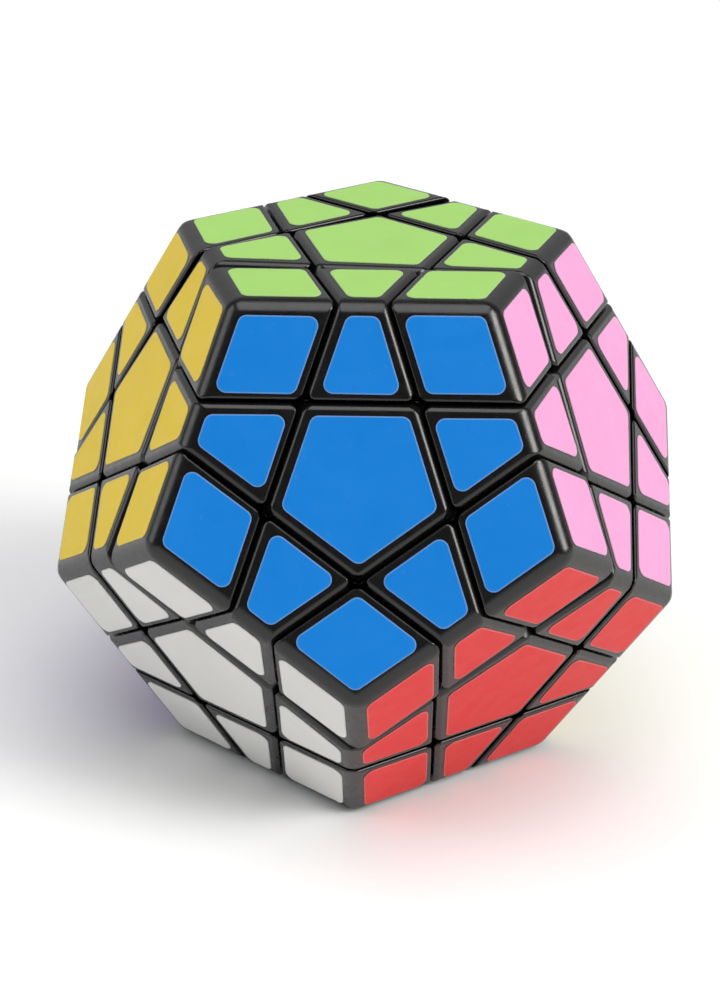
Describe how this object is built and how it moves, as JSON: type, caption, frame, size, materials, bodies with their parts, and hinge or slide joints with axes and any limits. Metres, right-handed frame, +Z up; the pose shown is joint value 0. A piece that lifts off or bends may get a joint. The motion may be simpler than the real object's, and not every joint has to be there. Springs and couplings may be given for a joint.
{
  "type": "dodecahedron twisty puzzle",
  "caption": "Dodecahedron twisty puzzle: pentagonal faces of a centre, edges and corners in black plastic with coloured stickers, on a core with sprung, screwed centres.",
  "frame": {"origin": "middle of the face that the puzzle stands on (the dark green face)", "axes": "+Z up out of the lime face opposite; -Y towards the front, whose face is blue and tilts up by 26.6 degrees; +X to the right, towards the pink and cream faces"},
  "size_m": [0.085, 0.0891, 0.0736],
  "materials": {
    "black_plastic": "moulded black plastic, satin gloss with fine handling scratches",
    "core_plastic": "moulded off-white plastic",
    "screw_steel": "zinc-plated steel",
    "spring_steel": "bright spring wire",
    "sticker_lime": "lime vinyl sticker, soft gloss",
    "sticker_green": "green vinyl sticker, soft gloss",
    "sticker_blue": "blue vinyl sticker, soft gloss",
    "sticker_pink": "pink vinyl sticker, soft gloss",
    "sticker_grey": "grey vinyl sticker, soft gloss",
    "sticker_orange": "orange vinyl sticker, soft gloss",
    "sticker_yellow": "yellow vinyl sticker, soft gloss",
    "sticker_red": "red vinyl sticker, soft gloss",
    "sticker_cream": "cream vinyl sticker, soft gloss",
    "sticker_sky": "sky vinyl sticker, soft gloss",
    "sticker_purple": "purple vinyl sticker, soft gloss",
    "sticker_white": "white vinyl sticker, soft gloss"
  },
  "bodies": {
    "core_and_fixed_pieces": {"core": "core_plastic", "edge_lime_yellow": "black_plastic", "edge_red_white": "black_plastic", "edge_sky_purple": "black_plastic", "fixed_grey_cream_sky": "black_plastic", "fixed_lime_pink_grey": "black_plastic", "fixed_pink_grey_cream": "black_plastic", "fixed_pink_red_cream": "black_plastic", "fixed_yellow_purple_white": "black_plastic", "screw_blue": "screw_steel", "screw_green": "screw_steel", "screw_orange": "screw_steel", "spring_blue": "spring_steel", "spring_green": "spring_steel", "spring_orange": "spring_steel"},
    "front_layer": {"corner_blue_pink_red": "black_plastic", "corner_blue_red_white": "black_plastic", "corner_blue_yellow_white": "black_plastic", "corner_lime_blue_pink": "black_plastic", "corner_lime_blue_yellow": "black_plastic", "edge_blue_pink": "black_plastic", "edge_blue_red": "black_plastic", "edge_blue_white": "black_plastic", "edge_blue_yellow": "black_plastic", "edge_lime_blue": "black_plastic"},
    "rear_layer": {"corner_grey_orange_sky": "black_plastic", "corner_lime_grey_orange": "black_plastic", "corner_lime_orange_yellow": "black_plastic", "corner_orange_sky_purple": "black_plastic", "corner_orange_yellow_purple": "black_plastic", "edge_grey_orange": "black_plastic", "edge_lime_orange": "black_plastic", "edge_orange_purple": "black_plastic", "edge_orange_sky": "black_plastic", "edge_orange_yellow": "black_plastic"},
    "bottom_layer": {"corner_green_cream_sky": "black_plastic", "corner_green_purple_white": "black_plastic", "corner_green_red_cream": "black_plastic", "corner_green_red_white": "black_plastic", "corner_green_sky_purple": "black_plastic", "edge_green_cream": "black_plastic", "edge_green_purple": "black_plastic", "edge_green_red": "black_plastic", "edge_green_sky": "black_plastic", "edge_green_white": "black_plastic"},
    "centre_lime": {"centre_lime": "black_plastic"},
    "centre_green": {"centre_green": "black_plastic", "cap_green": "black_plastic"},
    "centre_blue": {"centre_blue": "black_plastic", "cap_blue": "black_plastic"},
    "centre_pink": {"centre_pink": "black_plastic"},
    "centre_grey": {"centre_grey": "black_plastic"},
    "centre_orange": {"centre_orange": "black_plastic", "cap_orange": "black_plastic"},
    "centre_yellow": {"centre_yellow": "black_plastic"},
    "centre_red": {"centre_red": "black_plastic"},
    "centre_cream": {"centre_cream": "black_plastic"},
    "centre_sky": {"centre_sky": "black_plastic"},
    "centre_purple": {"centre_purple": "black_plastic"},
    "centre_white": {"centre_white": "black_plastic"}
  },
  "joints": [
    {"name": "front_layer_turn", "type": "hinge", "parent": "core_and_fixed_pieces", "child": "front_layer", "pos_m": [0, 0, 0.0365], "axis": [0, -0.8944, 0.4472], "continuous": true},
    {"name": "rear_layer_turn", "type": "hinge", "parent": "core_and_fixed_pieces", "child": "rear_layer", "pos_m": [0, 0, 0.0365], "axis": [-0.5257, 0.7236, 0.4472], "continuous": true},
    {"name": "bottom_layer_turn", "type": "hinge", "parent": "core_and_fixed_pieces", "child": "bottom_layer", "pos_m": [0, 0, 0.0365], "axis": [0, 0, -1], "continuous": true},
    {"name": "centre_lime_lift", "type": "slide", "parent": "core_and_fixed_pieces", "child": "centre_lime", "axis": [0, 0, 1], "range_m": [0, 0.0006], "stiffness_N_per_m": 500, "springref_m": -0.002},
    {"name": "centre_green_lift", "type": "slide", "parent": "bottom_layer", "child": "centre_green", "axis": [0, 0, -1], "range_m": [0, 0.0006], "stiffness_N_per_m": 500, "springref_m": -0.002, "deforming": ["spring_green"]},
    {"name": "centre_blue_lift", "type": "slide", "parent": "front_layer", "child": "centre_blue", "axis": [0, -0.8944, 0.4472], "range_m": [0, 0.0006], "stiffness_N_per_m": 500, "springref_m": -0.002, "deforming": ["spring_blue"]},
    {"name": "centre_pink_lift", "type": "slide", "parent": "core_and_fixed_pieces", "child": "centre_pink", "axis": [0.8507, -0.2764, 0.4472], "range_m": [0, 0.0006], "stiffness_N_per_m": 500, "springref_m": -0.002},
    {"name": "centre_grey_lift", "type": "slide", "parent": "core_and_fixed_pieces", "child": "centre_grey", "axis": [0.5257, 0.7236, 0.4472], "range_m": [0, 0.0006], "stiffness_N_per_m": 500, "springref_m": -0.002},
    {"name": "centre_orange_lift", "type": "slide", "parent": "rear_layer", "child": "centre_orange", "axis": [-0.5257, 0.7236, 0.4472], "range_m": [0, 0.0006], "stiffness_N_per_m": 500, "springref_m": -0.002, "deforming": ["spring_orange"]},
    {"name": "centre_yellow_lift", "type": "slide", "parent": "core_and_fixed_pieces", "child": "centre_yellow", "axis": [-0.8507, -0.2764, 0.4472], "range_m": [0, 0.0006], "stiffness_N_per_m": 500, "springref_m": -0.002},
    {"name": "centre_red_lift", "type": "slide", "parent": "core_and_fixed_pieces", "child": "centre_red", "axis": [0.5257, -0.7236, -0.4472], "range_m": [0, 0.0006], "stiffness_N_per_m": 500, "springref_m": -0.002},
    {"name": "centre_cream_lift", "type": "slide", "parent": "core_and_fixed_pieces", "child": "centre_cream", "axis": [0.8507, 0.2764, -0.4472], "range_m": [0, 0.0006], "stiffness_N_per_m": 500, "springref_m": -0.002},
    {"name": "centre_sky_lift", "type": "slide", "parent": "core_and_fixed_pieces", "child": "centre_sky", "axis": [0, 0.8944, -0.4472], "range_m": [0, 0.0006], "stiffness_N_per_m": 500, "springref_m": -0.002},
    {"name": "centre_purple_lift", "type": "slide", "parent": "core_and_fixed_pieces", "child": "centre_purple", "axis": [-0.8507, 0.2764, -0.4472], "range_m": [0, 0.0006], "stiffness_N_per_m": 500, "springref_m": -0.002},
    {"name": "centre_white_lift", "type": "slide", "parent": "core_and_fixed_pieces", "child": "centre_white", "axis": [-0.5257, -0.7236, -0.4472], "range_m": [0, 0.0006], "stiffness_N_per_m": 500, "springref_m": -0.002}
  ]
}
